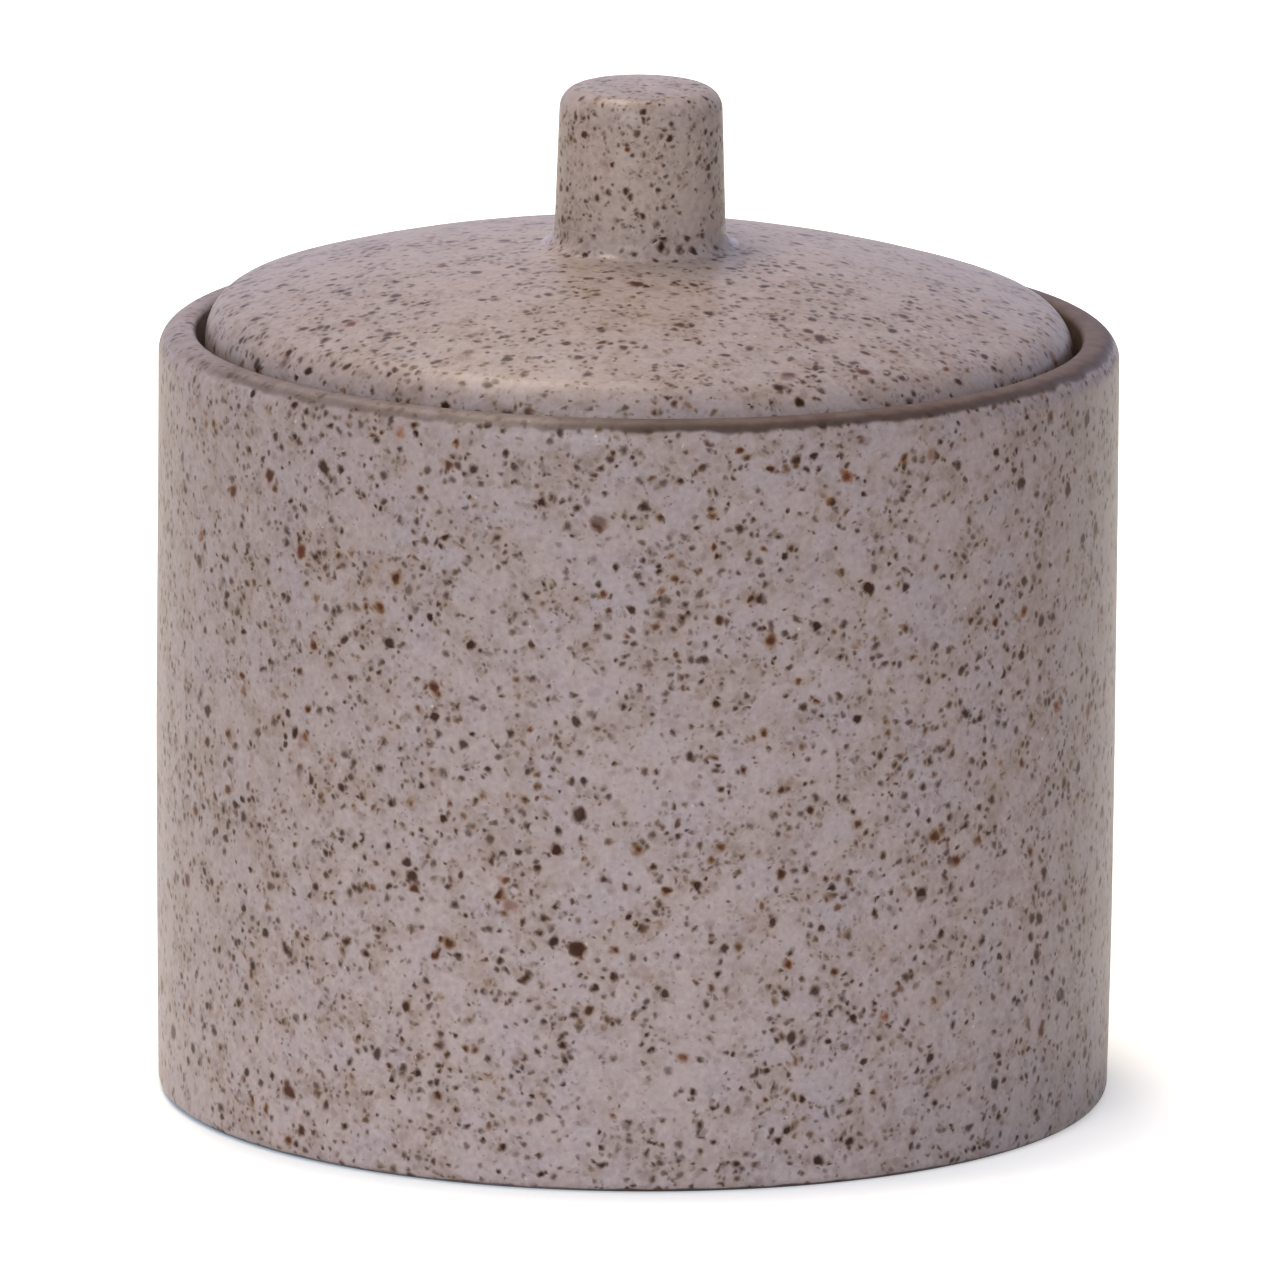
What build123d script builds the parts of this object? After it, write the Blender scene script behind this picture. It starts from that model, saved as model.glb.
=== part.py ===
from build123d import *
import os
from math import sqrt

# Lidded stoneware jar, made the way a potter makes it: a jar turned with a ledge inside its mouth,
# a domed lid that drops on to that ledge, and a knob luted to the crown of the lid.
# Millimetres, +Z up. The origin is on the axis, in the plane that the jar stands on.

# Jar
JAR_DIAMETER = 95.0  # outside of the straight wall
JAR_HEIGHT = 76.5  # standing plane to the top of the lip
JAR_WALL = 4.2  # side wall below the ledge
JAR_FLOOR = 4.6  # clay between the recess underneath and the inside
JAR_CORNER = 7.0  # inside curve from floor to wall
BASE_DRAW_IN = 0.43  # how much the wall draws in at the base
DRAW_IN_HEIGHT = 41.0  # standing plane to where the wall becomes straight
BASE_EDGE = 1.2  # rounding where the wall meets the table
FOOT_WIDTH = 8.2  # wall's outside to the inner edge of the foot
FOOT_RECESS = 1.2  # hollow turned out inside the foot
FOOT_SLOPE = 1.6  # run of the slope from the foot up into the recess
FOOT_EDGE = 0.8  # rounding of both ends of that slope

# Mouth of the jar
LIP_WALL = 3.7  # thickness of the lip around the lid
LIP_OUTER_EDGE = 2.4  # rounding of the lip outside
LIP_INNER_EDGE = 0.8  # rounding of the lip inside
SEAT_DEPTH = 4.0  # top of the lip down to the ledge
SEAT_WIDTH = 3.65  # width of the ledge
LEDGE_THICKNESS = 2.6  # upright face of the ledge
LEDGE_EDGE = 0.8  # rounding of the ledge's upper and lower edges
LEDGE_ROOT = 3.0  # hollow curve where the ledge's underside runs into the wall

# Lid
LID_GAP = 0.9  # all round, between the lid and the lip
LID_EDGE_HEIGHT = 5.8  # ledge to the line where the dome would meet the lid's side
LID_SHOULDER = 4.4  # rounding of that line
LID_HEEL = 0.7  # rounding of the lid's lower edge
DOME_RISE = 7.25  # that line to the crown of the dome
LID_WALL = 5.0  # thickness of the dome
RING_GAP = 0.8  # all round, between the locating ring and the ledge
RING_DEPTH = 5.0  # how far the ring hangs below the ledge's top
RING_WALL = 3.2  # thickness of the ring
RING_EDGE = 1.2  # rounding of the ring's lower edges
RING_ROOT = 3.0  # hollow curve from the ring to the underside of the dome

# Knob
COLLAR_RISE = 2.0  # crown of the dome to the joint where the knob is luted on
COLLAR_CURVE = 1.8  # hollow curve from the dome to the collar
KNOB_DIAMETER = 17.0  # at the joint
KNOB_TOP_DIAMETER = 16.1  # where the flank would meet the top
KNOB_HEIGHT = 13.65  # joint to the middle of the top
KNOB_CROWN = 0.35  # how much the top is domed
KNOB_EDGE = 2.2  # rounding of the top

# Places that the pieces share
JAR_RADIUS = JAR_DIAMETER / 2
MOUTH_RADIUS = JAR_RADIUS - LIP_WALL
LEDGE_RADIUS = MOUTH_RADIUS - SEAT_WIDTH
SEAT_Z = JAR_HEIGHT - SEAT_DEPTH
LID_RADIUS = MOUTH_RADIUS - LID_GAP
DOME_EDGE_Z = SEAT_Z + LID_EDGE_HEIGHT
CROWN_Z = DOME_EDGE_Z + DOME_RISE
DOME_RADIUS = (LID_RADIUS**2 + DOME_RISE**2) / (2 * DOME_RISE)
DOME_CENTRE_Z = CROWN_Z - DOME_RADIUS
JOINT_Z = CROWN_Z + COLLAR_RISE
JOINT_RADIUS = KNOB_DIAMETER / 2


def sphere_z(sphere_radius, radius):
    """Height of a sphere about the dome's centre, at a distance from the axis."""
    return DOME_CENTRE_Z + sqrt(sphere_radius**2 - radius**2)


def dome_arc(sphere_radius, start, end):
    """Arc of a sphere about the dome's centre, between two distances from the axis."""
    middle = (start + end) / 2
    places = [(radius, sphere_z(sphere_radius, radius)) for radius in (start, middle, end)]
    return ThreePointArc(*places)


def turned(outline, corners):
    """Solid turned about +Z from a half section, with the listed (place, radius) corners rounded."""
    section = make_face(outline)
    for place, radius in corners:
        section = fillet(section.vertices().sort_by_distance(place).first, radius)
    return revolve(Plane.XZ * section, Axis.Z)


def make_jar():
    """Straight-walled jar with a lip, a ledge that carries the lid, and a recessed foot."""
    inside = JAR_RADIUS - JAR_WALL
    floor_z = FOOT_RECESS + JAR_FLOOR
    ledge_under_z = SEAT_Z - LEDGE_THICKNESS
    ledge_root_z = ledge_under_z - (inside - LEDGE_RADIUS)

    under_centre = (0, FOOT_RECESS)
    recess_edge = (JAR_RADIUS - FOOT_WIDTH - FOOT_SLOPE, FOOT_RECESS)
    foot_inner = (JAR_RADIUS - FOOT_WIDTH, 0)
    foot_outer = (JAR_RADIUS - BASE_DRAW_IN, 0)
    draw_in_middle = (JAR_RADIUS - BASE_DRAW_IN / 4, DRAW_IN_HEIGHT / 2)
    wall_start = (JAR_RADIUS, DRAW_IN_HEIGHT)
    lip_outer = (JAR_RADIUS, JAR_HEIGHT)
    lip_inner = (MOUTH_RADIUS, JAR_HEIGHT)
    seat_outer = (MOUTH_RADIUS, SEAT_Z)
    seat_inner = (LEDGE_RADIUS, SEAT_Z)
    ledge_under = (LEDGE_RADIUS, ledge_under_z)
    ledge_root = (inside, ledge_root_z)
    floor_edge = (inside, floor_z)
    floor_centre = (0, floor_z)

    outline = [
        Polyline(floor_centre, under_centre, recess_edge, foot_inner, foot_outer),
        ThreePointArc(foot_outer, draw_in_middle, wall_start),
        Polyline(
            wall_start, lip_outer, lip_inner, seat_outer, seat_inner,
            ledge_under, ledge_root, floor_edge, floor_centre,
        ),
    ]
    corners = [
        (recess_edge, FOOT_EDGE),
        (foot_inner, FOOT_EDGE),
        (foot_outer, BASE_EDGE),
        (lip_outer, LIP_OUTER_EDGE),
        (lip_inner, LIP_INNER_EDGE),
        (seat_inner, LEDGE_EDGE),
        (ledge_under, LEDGE_EDGE),
        (ledge_root, LEDGE_ROOT),
        (floor_edge, JAR_CORNER),
    ]
    return turned(outline, corners)


def make_lid():
    """Domed lid that rests on the ledge, with a locating ring below and a collar for the knob."""
    ring_outer = LEDGE_RADIUS - RING_GAP
    ring_inner = ring_outer - RING_WALL
    ring_z = SEAT_Z - RING_DEPTH
    hollow_radius = DOME_RADIUS - LID_WALL
    flank_run = (KNOB_DIAMETER - KNOB_TOP_DIAMETER) / 2 / KNOB_HEIGHT
    collar_radius = JOINT_RADIUS + flank_run * COLLAR_RISE

    joint_centre = (0, JOINT_Z)
    joint_edge = (JOINT_RADIUS, JOINT_Z)
    collar_foot = (collar_radius, sphere_z(DOME_RADIUS, collar_radius))
    shoulder = (LID_RADIUS, DOME_EDGE_Z)
    heel = (LID_RADIUS, SEAT_Z)
    ring_top = (ring_outer, SEAT_Z)
    ring_outer_edge = (ring_outer, ring_z)
    ring_inner_edge = (ring_inner, ring_z)
    ring_root = (ring_inner, sphere_z(hollow_radius, ring_inner))
    hollow_centre = (0, sphere_z(hollow_radius, 0))

    outline = [
        Polyline(joint_centre, joint_edge, collar_foot),
        dome_arc(DOME_RADIUS, collar_radius, LID_RADIUS),
        Polyline(shoulder, heel, ring_top, ring_outer_edge, ring_inner_edge, ring_root),
        dome_arc(hollow_radius, ring_inner, 0),
        Line(hollow_centre, joint_centre),
    ]
    corners = [
        (collar_foot, COLLAR_CURVE),
        (shoulder, LID_SHOULDER),
        (heel, LID_HEEL),
        (ring_outer_edge, RING_EDGE),
        (ring_inner_edge, RING_EDGE),
        (ring_root, RING_ROOT),
    ]
    return turned(outline, corners)


def make_knob():
    """Tapered knob with a rounded, slightly domed top, which stands on the lid's collar."""
    top_z = JOINT_Z + KNOB_HEIGHT
    top_radius = KNOB_TOP_DIAMETER / 2
    crown_radius = (top_radius**2 + KNOB_CROWN**2) / (2 * KNOB_CROWN)

    joint_centre = (0, JOINT_Z)
    joint_edge = (JOINT_RADIUS, JOINT_Z)
    top_edge = (top_radius, top_z - KNOB_CROWN)
    top_centre = (0, top_z)
    crown_middle = (top_radius / 2, top_z - crown_radius + sqrt(crown_radius**2 - top_radius**2 / 4))

    outline = [
        Polyline(top_centre, joint_centre, joint_edge, top_edge),
        ThreePointArc(top_edge, crown_middle, top_centre),
    ]
    return turned(outline, [(top_edge, KNOB_EDGE)])


os.makedirs("parts", exist_ok=True)
for node, solid in (("jar", make_jar()), ("lid", make_lid()), ("knob", make_knob())):
    export_step(solid, f"parts/{node}.step")
    print(node, "volume", round(solid.volume), "mm3")
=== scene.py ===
"""Lidded stoneware jar in a speckled satin glaze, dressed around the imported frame.

The jar, its lid and the lid's knob are turned about +Z from half sections, as on the wheel.
Sections are written in millimetres, and meshes are in metres.
"""

import logging
import math
from dataclasses import dataclass, field
from enum import Enum
from typing import Any, ClassVar

import bpy
from bpy.types import Material, Node, NodeSocket, NodeTree, Object
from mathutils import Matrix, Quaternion, Vector


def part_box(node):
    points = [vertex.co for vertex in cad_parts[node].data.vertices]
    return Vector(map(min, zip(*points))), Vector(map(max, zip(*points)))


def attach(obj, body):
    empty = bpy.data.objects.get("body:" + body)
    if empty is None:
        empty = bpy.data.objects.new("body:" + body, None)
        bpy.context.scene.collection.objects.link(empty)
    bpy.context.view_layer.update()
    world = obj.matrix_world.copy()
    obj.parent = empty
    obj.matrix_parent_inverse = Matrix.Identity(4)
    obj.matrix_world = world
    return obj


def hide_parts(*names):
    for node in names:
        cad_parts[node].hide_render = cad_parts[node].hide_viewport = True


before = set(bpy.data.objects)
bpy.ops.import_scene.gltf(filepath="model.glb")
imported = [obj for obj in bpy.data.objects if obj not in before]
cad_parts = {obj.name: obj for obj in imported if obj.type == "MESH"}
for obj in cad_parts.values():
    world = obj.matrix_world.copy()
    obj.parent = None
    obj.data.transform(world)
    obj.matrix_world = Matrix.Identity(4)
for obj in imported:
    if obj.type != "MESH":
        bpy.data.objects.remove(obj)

MM = 0.001  # metres in a millimetre
CLAY_ATTRIBUTE = "clay"
NOISE_LOW, NOISE_HIGH = 0.36, 0.64  # a noise texture seldom leaves this range

log = logging.getLogger("stoneware_jar")


class Body(Enum):
    """Bodies of the frame that the pieces ride on."""

    JAR = "jar"
    LID = "lid"


class Surface(Enum):
    """What covers a stretch of a section: glaze, or the clay that was wiped bare."""

    GLAZED = 0.0
    BARE = 1.0


def linear(colour: str) -> tuple[float, float, float, float]:
    """Turn an sRGB hex colour into linear light.

    Args:
        colour: Colour such as "#a39491".

    Returns:
        Linear red, green, blue and an alpha of 1.
    """
    shares = [int(colour[place:place + 2], 16) / 255 for place in (1, 3, 5)]
    red, green, blue = (s / 12.92 if s <= 0.04045 else ((s + 0.055) / 1.055) ** 2.4 for s in shares)
    return red, green, blue, 1.0


def add(tree: NodeTree, kind: str, feeds: dict | None = None, **settings: Any) -> Node:
    """Add one node to a tree, with its settings and what feeds it.

    Args:
        tree: Tree that the node joins.
        kind: Blender's name of the node's type.
        feeds: Input name or number, to the socket that feeds it or to a plain value.
        settings: The node's own properties.

    Returns:
        The new node.
    """
    node = tree.nodes.new(kind)
    for name, value in settings.items():
        setattr(node, name, value)
    for key, source in (feeds or {}).items():
        if isinstance(source, NodeSocket):
            tree.links.new(source, node.inputs[key])
        else:
            node.inputs[key].default_value = source
    return node


@dataclass(frozen=True)
class Corner:
    """One corner of a half section.

    Attributes:
        radius: Distance from the axis.
        height: Height above the standing plane.
        rounding: Radius of the curve that replaces the corner.
        surface: What covers the stretch that follows the corner.
    """

    radius: float
    height: float
    rounding: float = 0.0
    surface: Surface = Surface.GLAZED

    @property
    def place(self) -> Vector:
        """Place in the section's plane."""
        return Vector((self.radius, self.height))


@dataclass(frozen=True)
class Sphere:
    """Sphere about the axis that the lid's dome and hollow are part of.

    Attributes:
        radius: Radius of the sphere.
        centre: Height of its middle.
    """

    radius: float
    centre: float

    def height(self, distance: float) -> float:
        """Height of the sphere at a distance from the axis."""
        return self.centre + math.sqrt(self.radius**2 - distance**2)

    def corners(self, start: float, end: float, count: int) -> list[Corner]:
        """Places on the sphere between two distances from the axis, without the two ends.

        Args:
            start: First distance from the axis.
            end: Last distance from the axis.
            count: Number of places.

        Returns:
            The places, as corners without rounding.
        """
        distances = [start + (end - start) * place / (count + 1) for place in range(1, count + 1)]
        return [Corner(distance, self.height(distance)) for distance in distances]


@dataclass(frozen=True)
class SectionPoint:
    """One point of a finished half section, with the share of bare clay there."""

    place: Vector
    clay: float


@dataclass
class HalfSection:
    """Half section of a turned piece, from the axis below, round the outside, to the axis above.

    Attributes:
        corners: Corners in order.
        arc_step: Most degrees between two points of a rounded corner.
        longest_run: Longest run between two points, so that the surface can bend a little.
    """

    corners: list[Corner]
    arc_step: float = 9.0
    longest_run: float = 2.0

    def points(self) -> list[SectionPoint]:
        """Points of the section with its corners rounded and its long runs divided.

        Returns:
            The points in order.
        """
        rounded: list[SectionPoint] = []
        clay = self.corners[0].surface.value
        for index, corner in enumerate(self.corners):
            rounded += self._round(index, clay)
            clay = corner.surface.value
        divided = rounded[:1]
        for point in rounded[1:]:
            divided += self._divide(divided[-1], point)
        return divided

    def _round(self, index: int, clay_before: float) -> list[SectionPoint]:
        """Points that one corner turns into.

        Args:
            index: Number of the corner.
            clay_before: Share of bare clay on the stretch that leads to it.

        Returns:
            Points along the corner's curve, or the corner itself.
        """
        corner = self.corners[index]
        clay_after = corner.surface.value
        if not corner.rounding:
            return [SectionPoint(corner.place, clay_after)]
        back = (self.corners[index - 1].place - corner.place).normalized()
        ahead = (self.corners[index + 1].place - corner.place).normalized()
        between = math.acos(max(-1.0, min(1.0, back.dot(ahead))))
        centre = corner.place + (back + ahead).normalized() * (corner.rounding / math.sin(between / 2))
        reach = corner.rounding / math.tan(between / 2)
        first = corner.place + back * reach - centre
        last = corner.place + ahead * reach - centre
        turn = first.angle_signed(last)
        steps = max(2, math.ceil(math.degrees(abs(turn)) / self.arc_step))
        points = []
        for step in range(steps + 1):
            share = step / steps
            angle = -turn * share
            arm = Vector((
                first.x * math.cos(angle) - first.y * math.sin(angle),
                first.x * math.sin(angle) + first.y * math.cos(angle),
            ))
            points.append(SectionPoint(centre + arm, clay_before + (clay_after - clay_before) * share))
        return points

    def _divide(self, start: SectionPoint, end: SectionPoint) -> list[SectionPoint]:
        """Points after start, up to end, no further apart than the longest run.

        Args:
            start: Point that is already in the section.
            end: Next point of the section.

        Returns:
            The points between them and the end itself.
        """
        runs = max(1, math.ceil((end.place - start.place).length / self.longest_run))
        shares = [run / runs for run in range(1, runs + 1)]
        return [
            SectionPoint(start.place.lerp(end.place, share), start.clay + (end.clay - start.clay) * share)
            for share in shares
        ]


@dataclass(frozen=True)
class Lean:
    """How a piece sank to one side in the kiln. Sizes are in millimetres.

    Attributes:
        slope: Rise for each millimetre towards +X.
        slope_back: Rise for each millimetre towards +Y.
        low: Height up to which the piece stays true.
        high: Height from which it leans in full.
        near: Distance from the axis up to which it stays true.
        far: Distance from which it leans in full.
    """

    slope: float = 0.0
    slope_back: float = 0.0
    low: float = -1.0
    high: float = 0.0
    near: float = -1.0
    far: float = 0.0


@dataclass
class Wheel:
    """Potter's wheel: turns half sections into closed meshes with one Geometry Nodes tree.

    Sizes are in millimetres.

    Attributes:
        segments: Number of flats round the axis.
        hollow: How far the surface falls short of a true round.
        hollow_size: Size of one hollow.
        seed: Picks one pattern of hollows.
        carrier: Radius of the circle that carries the section round the axis.
        weld: Distance below which points are merged.
        core: Distance from the axis by which the hollows reach their full depth.
        crisp: Degrees between two faces from which their edge stays crisp.
    """

    segments: int = 192
    hollow: float = 0.12
    hollow_size: float = 26.0
    seed: float = 4.0
    carrier: float = 10.0
    weld: float = 0.002
    core: float = 6.0
    crisp: float = 35.0
    tree: NodeTree = field(init=False)

    def __post_init__(self) -> None:
        """Make the tree that every piece is turned by."""
        self.tree = self._make_tree()

    def _make_tree(self) -> NodeTree:
        """Make the Geometry Nodes tree, whose named inputs are sizes in metres.

        Returns:
            The tree.
        """
        tree = bpy.data.node_groups.new("turned_on_the_wheel", "GeometryNodeTree")
        sockets = (
            ("Section", "Geometry"), ("Segments", "Int"), ("Hollow", "Float"), ("Hollow Size", "Float"),
            ("Seed", "Float"), ("Lean", "Vector"), ("Lean Low", "Float"), ("Lean High", "Float"),
            ("Lean Near", "Float"), ("Lean Far", "Float"), ("Material", "Material"),
        )
        for name, kind in sockets:
            tree.interface.new_socket(name, in_out="INPUT", socket_type=f"NodeSocket{kind}")
        tree.interface.new_socket("Piece", in_out="OUTPUT", socket_type="NodeSocketGeometry")
        given = add(tree, "NodeGroupInput").outputs

        # A circle carries the section round the axis, so the section moves in by the circle's radius.
        carrier = self.carrier * MM
        circle = add(tree, "GeometryNodeCurvePrimitiveCircle", {
            "Resolution": given["Segments"], "Radius": carrier,
        })
        curve = add(tree, "GeometryNodeMeshToCurve", {"Mesh": given["Section"]})
        placed = add(tree, "GeometryNodeTransform", {
            "Geometry": curve.outputs["Curve"],
            "Translation": (-carrier, 0, 0),
            "Rotation": (math.pi / 2, 0, 0),
        })
        turned = add(tree, "GeometryNodeCurveToMesh", {
            "Curve": circle.outputs["Curve"],
            "Profile Curve": placed.outputs["Geometry"],
        })
        closed = add(tree, "GeometryNodeMergeByDistance", {
            "Geometry": turned.outputs["Mesh"],
            "Distance": self.weld * MM,
        })

        # Hollows only take clay away from the sides, never from above or below, so seats stay flat.
        place = add(tree, "GeometryNodeInputPosition").outputs[0]
        scale = add(tree, "ShaderNodeMath", {0: 1.0, 1: given["Hollow Size"]}, operation="DIVIDE")
        noise = add(tree, "ShaderNodeTexNoise", {
            "Vector": place, "W": given["Seed"], "Scale": scale.outputs[0], "Detail": 1.0,
        }, noise_dimensions="4D")
        short = add(tree, "ShaderNodeMath", {0: noise.outputs[0], 1: 1.0}, operation="SUBTRACT")
        amount = add(tree, "ShaderNodeMath", {0: short.outputs[0], 1: given["Hollow"]}, operation="MULTIPLY")
        outward = add(tree, "ShaderNodeVectorMath", {0: place, 1: (1, 1, 0)}, operation="MULTIPLY")
        length = add(tree, "ShaderNodeVectorMath", {0: outward.outputs[0]}, operation="LENGTH")
        distance = length.outputs["Value"]
        direction = add(tree, "ShaderNodeVectorMath", {0: outward.outputs[0]}, operation="NORMALIZE")
        core = add(tree, "ShaderNodeMapRange", {"Value": distance, "From Max": self.core * MM})
        eased = add(tree, "ShaderNodeMath", {0: amount.outputs[0], 1: core.outputs[0]}, operation="MULTIPLY")
        offset = add(tree, "ShaderNodeVectorMath", {
            0: direction.outputs[0], "Scale": eased.outputs[0],
        }, operation="SCALE")

        # The lean grows with height and with distance from the axis.
        height = add(tree, "ShaderNodeSeparateXYZ", {0: place}).outputs["Z"]
        upper = add(tree, "ShaderNodeMapRange", {
            "Value": height, "From Min": given["Lean Low"], "From Max": given["Lean High"],
        }, interpolation_type="SMOOTHSTEP")
        outer = add(tree, "ShaderNodeMapRange", {
            "Value": distance, "From Min": given["Lean Near"], "From Max": given["Lean Far"],
        }, interpolation_type="SMOOTHSTEP")
        leaning = add(tree, "ShaderNodeMath", {
            0: upper.outputs[0], 1: outer.outputs[0],
        }, operation="MULTIPLY")
        along = add(tree, "ShaderNodeVectorMath", {0: place, 1: given["Lean"]}, operation="DOT_PRODUCT")
        rise = add(tree, "ShaderNodeMath", {
            0: leaning.outputs[0], 1: along.outputs["Value"],
        }, operation="MULTIPLY")
        raised = add(tree, "ShaderNodeCombineXYZ", {"Z": rise.outputs[0]})
        moved = add(tree, "ShaderNodeVectorMath", {0: offset.outputs[0], 1: raised.outputs[0]})
        settled = add(tree, "GeometryNodeSetPosition", {
            "Geometry": closed.outputs["Geometry"], "Offset": moved.outputs[0],
        })

        # Rounded corners shade smoothly, and the few true corners stay crisp.
        angle = add(tree, "GeometryNodeInputMeshEdgeAngle")
        soft = add(tree, "FunctionNodeCompare", {
            0: angle.outputs["Unsigned Angle"], 1: math.radians(self.crisp),
        }, data_type="FLOAT", operation="LESS_THAN")
        faces = add(tree, "GeometryNodeSetShadeSmooth", {
            "Geometry": settled.outputs["Geometry"],
        }, domain="FACE")
        edges = add(tree, "GeometryNodeSetShadeSmooth", {
            "Geometry": faces.outputs["Geometry"], "Shade Smooth": soft.outputs[0],
        }, domain="EDGE")
        real = add(tree, "GeometryNodeRealizeInstances", {"Geometry": edges.outputs["Geometry"]})
        dressed = add(tree, "GeometryNodeSetMaterial", {
            "Geometry": real.outputs["Geometry"], "Material": given["Material"],
        })
        add(tree, "NodeGroupOutput", {"Piece": dressed.outputs["Geometry"]})
        return tree

    def turn(self, name: str, section: HalfSection, material: Material, lean: Lean) -> Object:
        """Turn one piece and leave it as a plain mesh.

        Args:
            name: Name of the piece.
            section: Half section that it is turned from.
            material: Finish of the piece.
            lean: How it sank in the kiln.

        Returns:
            The piece, at the origin, with its place in its mesh.
        """
        points = section.points()
        wire = bpy.data.meshes.new(name)
        wire.from_pydata(
            [(point.place.x * MM, 0.0, point.place.y * MM) for point in points],
            [(index, index + 1) for index in range(len(points) - 1)],
            [],
        )
        clay = wire.attributes.new(CLAY_ATTRIBUTE, "FLOAT", "POINT")
        clay.data.foreach_set("value", [point.clay for point in points])
        piece = bpy.data.objects.new(name, wire)
        bpy.context.scene.collection.objects.link(piece)

        modifier = piece.modifiers.new("turned", "NODES")
        modifier.node_group = self.tree
        values = {
            "Segments": self.segments, "Hollow": self.hollow * MM, "Hollow Size": self.hollow_size * MM,
            "Seed": self.seed, "Lean": (lean.slope, lean.slope_back, 0.0),
            "Lean Low": lean.low * MM, "Lean High": lean.high * MM,
            "Lean Near": lean.near * MM, "Lean Far": lean.far * MM, "Material": material,
        }
        for socket in self.tree.interface.items_tree:
            if socket.in_out == "INPUT" and socket.name in values:
                modifier[socket.identifier] = values[socket.name]
        evaluated = piece.evaluated_get(bpy.context.evaluated_depsgraph_get())
        mesh = bpy.data.meshes.new_from_object(evaluated)
        piece.modifiers.remove(modifier)
        piece.data = mesh
        bpy.data.meshes.remove(wire)
        mesh.name = name
        return piece


@dataclass(frozen=True)
class Specks:
    """One population of specks in the glaze. Sizes are in millimetres.

    Attributes:
        spacing: Between the places where a speck can be.
        smallest: Smallest diameter.
        largest: Largest diameter.
        smallness: Above 1, small specks outnumber large ones.
        sparse: Share of places that hold a speck in thin patches.
        crowded: Share of places that hold one in crowded patches.
        softness: Share of a speck's radius over which its edge fades.
        weakest: Strength of the palest speck.
        strongest: Strength of the darkest speck.
        colour: Colour of most specks.
        warm: Colour of the most rusted ones.
        halo: Colour that bleeds into the glaze around a speck, if any.
        halo_reach: How many radii that colour reaches.
        rusting: Share of specks that rust.
    """

    spacing: float
    smallest: float
    largest: float
    smallness: float
    sparse: float
    crowded: float
    softness: float
    weakest: float
    strongest: float
    colour: str
    warm: str
    halo: str | None = None
    halo_reach: float = 2.0
    rusting: float = 0.2


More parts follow.
